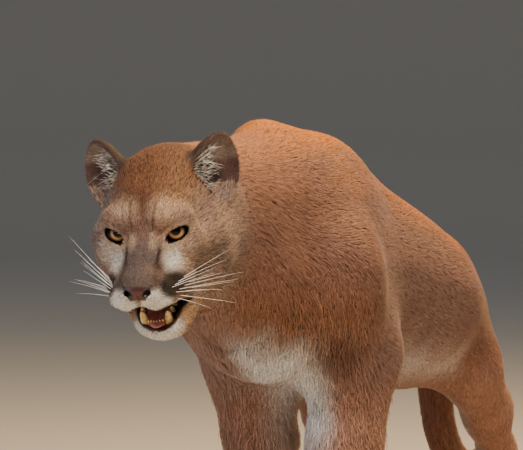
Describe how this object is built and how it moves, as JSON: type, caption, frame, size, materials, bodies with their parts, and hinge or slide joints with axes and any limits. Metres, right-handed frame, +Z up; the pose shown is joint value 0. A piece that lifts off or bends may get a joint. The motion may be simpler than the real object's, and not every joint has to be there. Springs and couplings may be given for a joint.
{
  "type": "cougar",
  "caption": "Life-size adult cougar walking with its head low, its ears up and its mouth a little open, on flat soles.",
  "frame": {"origin": "under the middle of the whole animal, on the ground", "axes": "+Z up; -Y the way the animal faces; +X its left side; +Y along the body towards the tail"},
  "size_m": [0.3372, 1.5002, 0.6509],
  "materials": {
    "fur": "matte",
    "fur_head": "matte",
    "fur_ear": "matte",
    "fur_leg": "matte",
    "fur_tail": "matte",
    "fur_tail_tip": "matte",
    "eye": "glossy",
    "tongue": "satin"
  },
  "bodies": {
    "root": {"torso": "fur", "neck": "fur", "head": "fur_head", "ear_left": "fur_ear", "ear_right": "fur_ear", "foreleg_left": "fur_leg", "foreleg_right": "fur_leg", "hindleg_left": "fur_leg", "hindleg_right": "fur_leg", "tail_root": "fur_tail", "tail_middle": "fur_tail", "tail_tip": "fur_tail_tip", "eye_left": "eye", "eye_right": "eye", "tongue": "tongue"}
  },
  "joints": []
}
